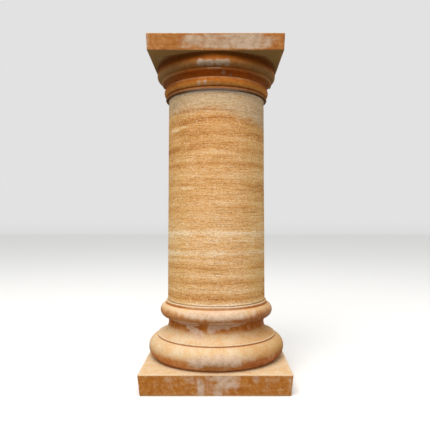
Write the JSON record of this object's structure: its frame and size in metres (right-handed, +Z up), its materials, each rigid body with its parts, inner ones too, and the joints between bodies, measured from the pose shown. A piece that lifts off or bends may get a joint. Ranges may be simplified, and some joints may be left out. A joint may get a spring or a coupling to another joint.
{
  "type": "terracotta pedestal",
  "caption": "Stacked terracotta garden pedestal: moulded base on a square plinth, plain round shaft and moulded capital under a square slab top.",
  "frame": {"origin": "centre of the plinth's underside, on the ground", "axes": "+Z up the column's axis; the front face looks along -Y; +X to the viewer's right"},
  "size_m": [0.4272, 0.4272, 1],
  "materials": {
    "base_clay": "unglazed, matt, pale buff-orange with white salt bloom",
    "shaft_clay": "unglazed, matt, fine horizontal turned texture",
    "capital_clay": "unglazed, matt, deeper orange with white salt bloom"
  },
  "bodies": {
    "root": {"base": "base_clay", "shaft": "shaft_clay", "capital": "capital_clay"}
  },
  "joints": []
}
